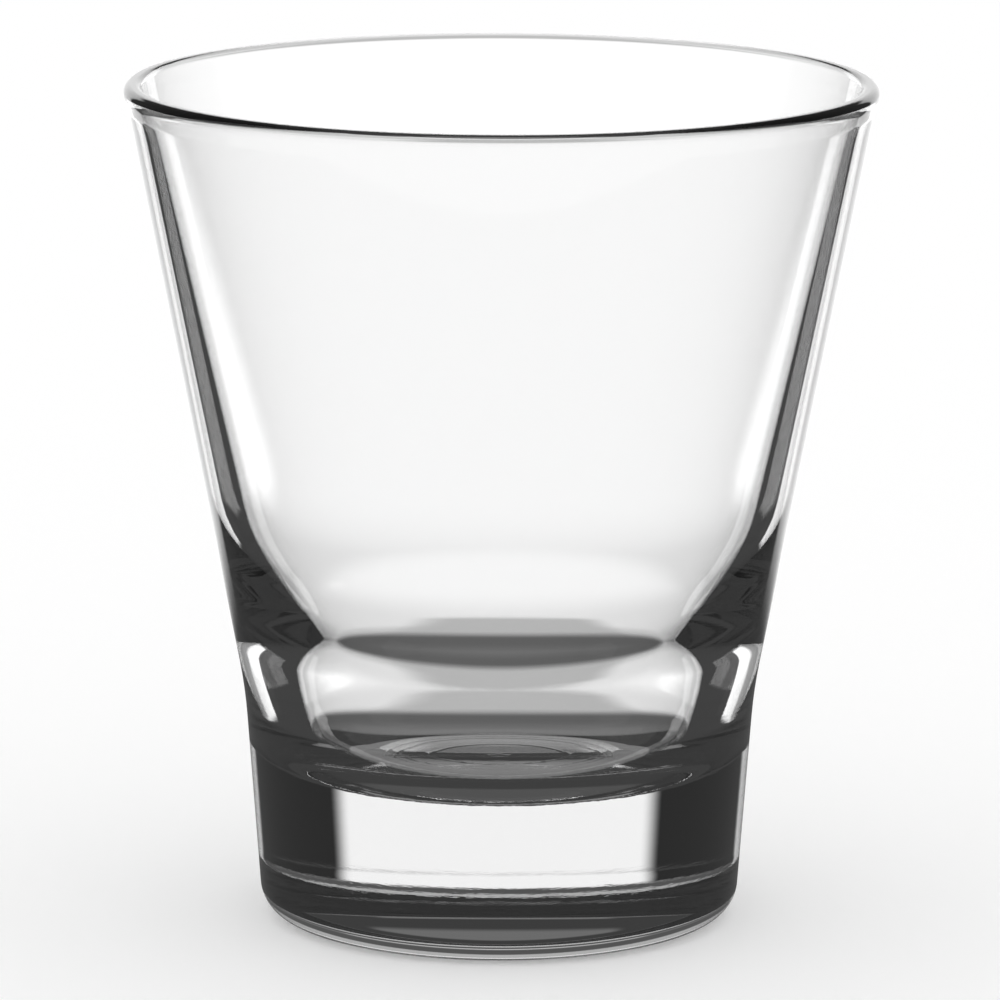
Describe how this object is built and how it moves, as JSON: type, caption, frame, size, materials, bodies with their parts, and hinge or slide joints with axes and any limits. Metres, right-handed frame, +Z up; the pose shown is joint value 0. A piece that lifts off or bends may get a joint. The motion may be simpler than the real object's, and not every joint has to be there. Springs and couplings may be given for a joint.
{
  "type": "conical tumbler",
  "caption": "Short flared drinking tumbler of clear glass, with a thick solid base, a tapered foot and a rounded rim bead.",
  "frame": {"origin": "on the glass's axis, in the plane of the ring that it rests on", "axes": "+Z up along the axis, from the foot to the mouth; the glass is round, so +X and +Y are free"},
  "size_m": [0.09, 0.09, 0.1011],
  "materials": {
    "clear_glass": "clear fire-polished soda-lime glass"
  },
  "bodies": {
    "root": {"tumbler": "clear_glass"}
  },
  "joints": []
}
